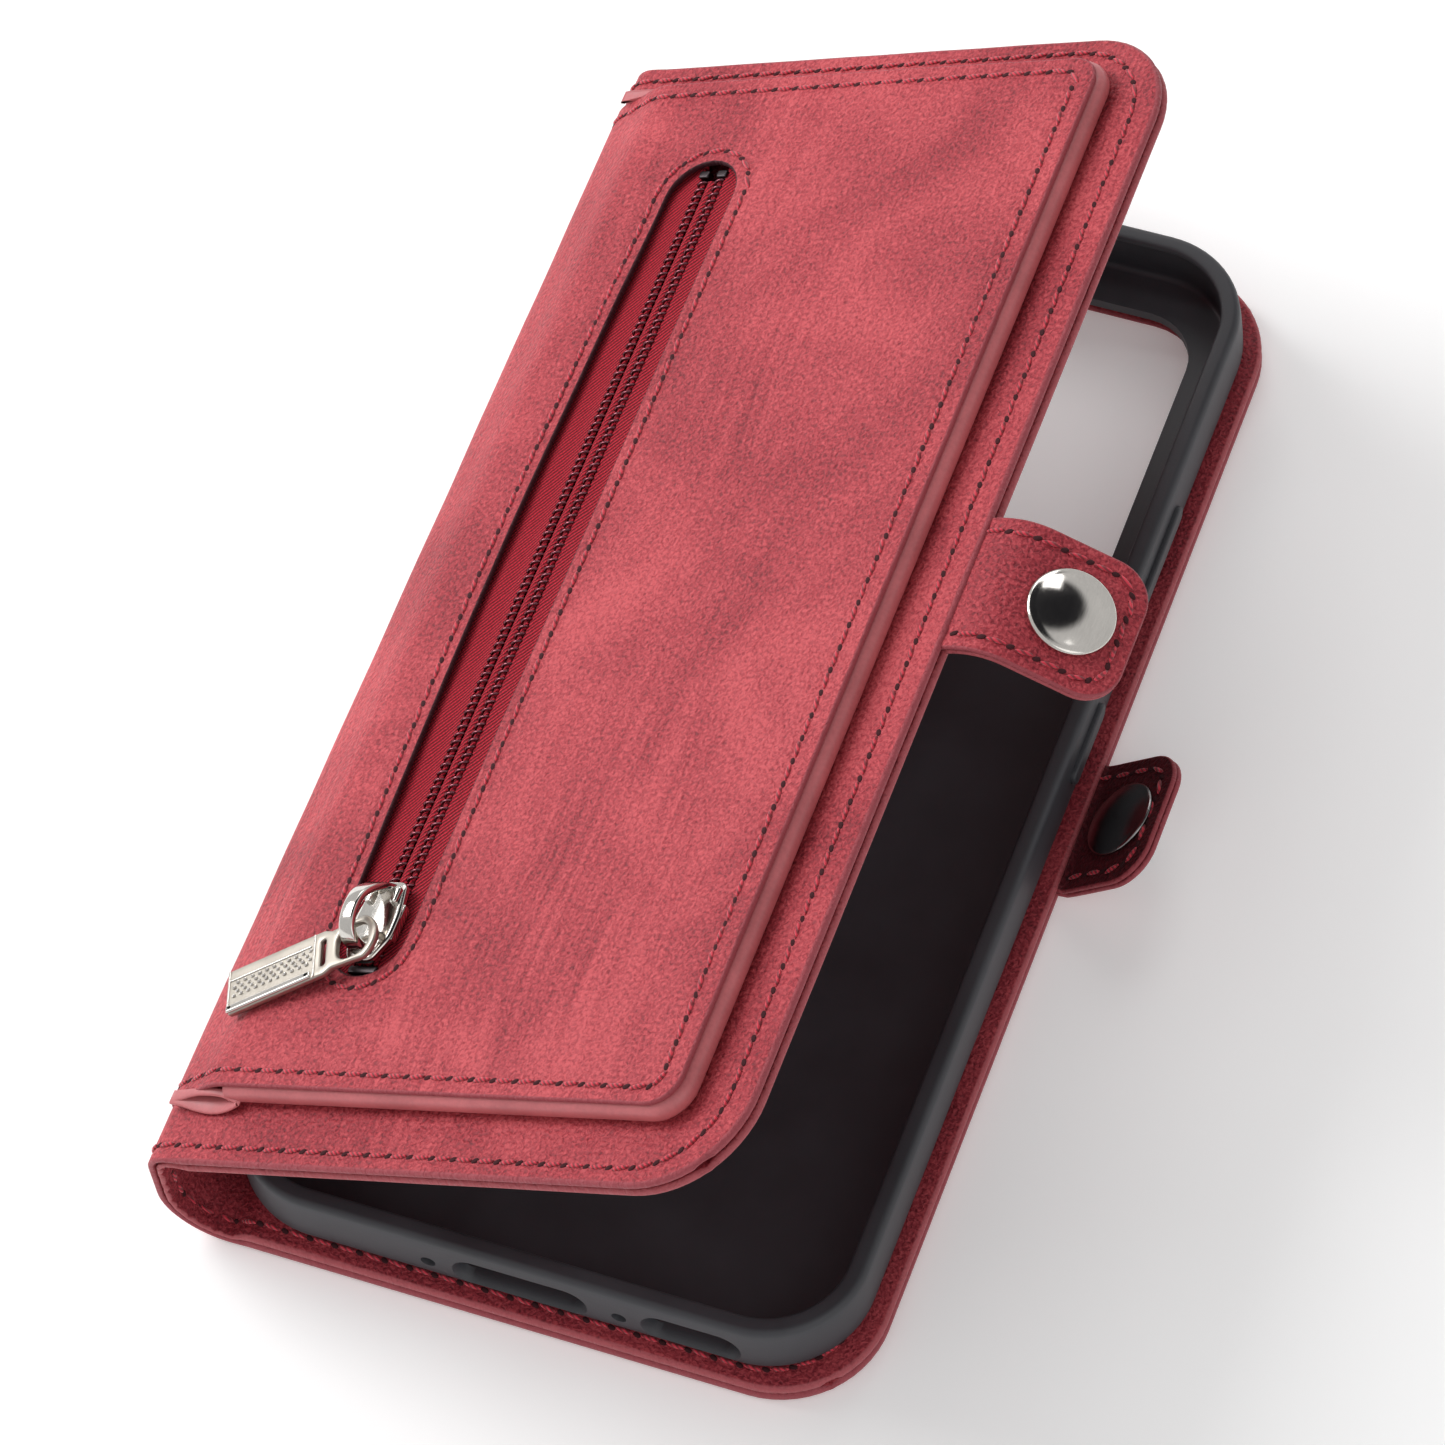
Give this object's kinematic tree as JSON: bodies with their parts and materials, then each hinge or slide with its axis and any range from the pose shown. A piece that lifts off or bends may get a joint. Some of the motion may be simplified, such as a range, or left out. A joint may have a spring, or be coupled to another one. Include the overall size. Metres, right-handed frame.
{
  "type": "phone wallet case",
  "caption": "Folding leather wallet case for a handset, with a soft tray, a zip pocket on the front cover and magnetic snap tabs.",
  "frame": {"origin": "on the flat outer face of the back cover, 42.7 mm from its opening edge and midway along its length", "axes": "+X from the spine to the opening edge, +Y to the top of the handset, +Z out of the back cover towards the handset"},
  "size_m": [0.0987, 0.1646, 0.0551],
  "materials": {
    "leather_outer": "brushed rose-red leather, matt",
    "leather_inner": "plain rose-red leather, matt",
    "board": "pressed fibre board",
    "tray": "soft-touch dark grey",
    "zip_tape": "crimson twill tape",
    "zip_coil": "dark metallised coil",
    "nickel": "polished and satin nickel plate",
    "snap_disc": "smooth dark nickel"
  },
  "bodies": {
    "back_cover": {"back_outer_panel": "leather_outer", "back_inner_panel": "leather_inner", "back_stiffener": "board", "phone_tray": "tray"},
    "spine": {"spine_outer": "leather_outer", "spine_lining": "leather_inner"},
    "front_cover": {"front_outer_panel": "leather_outer", "front_lining": "leather_inner", "front_stiffener": "board", "cash_pocket_panel": "leather_inner", "card_pocket_panel_1": "leather_inner", "card_pocket_panel_2": "leather_inner", "pocket_gusset": "leather_outer", "pocket_face": "leather_outer", "zip_tape_left": "zip_tape", "zip_tape_right": "zip_tape", "zip_coil_left": "zip_coil", "zip_coil_right": "zip_coil", "zip_top_stop_left": "nickel", "zip_top_stop_right": "nickel", "zip_bottom_stop": "nickel"},
    "zip_slider": {"zip_slider": "nickel"},
    "zip_pull": {"zip_pull": "nickel"},
    "front_tab": {"front_tab_upper": "leather_outer", "front_tab_lower": "leather_inner", "front_snap_cap": "nickel", "front_snap_magnet": "snap_disc"},
    "back_tab": {"back_tab_upper": "leather_inner", "back_tab_lower": "leather_outer", "back_snap_disc": "snap_disc", "back_snap_magnet": "snap_disc"}
  },
  "joints": [
    {"name": "spine_back_fold", "type": "hinge", "parent": "back_cover", "child": "spine", "pos_m": [-0.04223, 0, 0.00237], "axis": [0, -1, 0], "range_deg": [-6.8, 172]},
    {"name": "spine_front_fold", "type": "hinge", "parent": "spine", "child": "front_cover", "pos_m": [-0.04399, 0, 0.01662], "axis": [0, -1, 0], "range_deg": [-19, 162]},
    {"name": "zip_slide", "type": "slide", "parent": "front_cover", "child": "zip_slider", "axis": [0, 1, 0], "range_m": [0, 0.106]},
    {"name": "pull_swing", "type": "hinge", "parent": "zip_slider", "child": "zip_pull", "pos_m": [-0.0264, -0.05513, 0.03277], "axis": [-0.4368, 0, 0.8996], "range_deg": [-15, 150]},
    {"name": "front_tab_fold", "type": "hinge", "parent": "front_cover", "child": "front_tab", "pos_m": [0.03252, 0.0008, 0.05301], "axis": [0, 1, 0], "range_deg": [-90, 60]},
    {"name": "back_tab_fold", "type": "hinge", "parent": "back_cover", "child": "back_tab", "pos_m": [0.0436, 0.0008, 0.0016], "axis": [0, -1, 0], "range_deg": [-36, 34]}
  ]
}
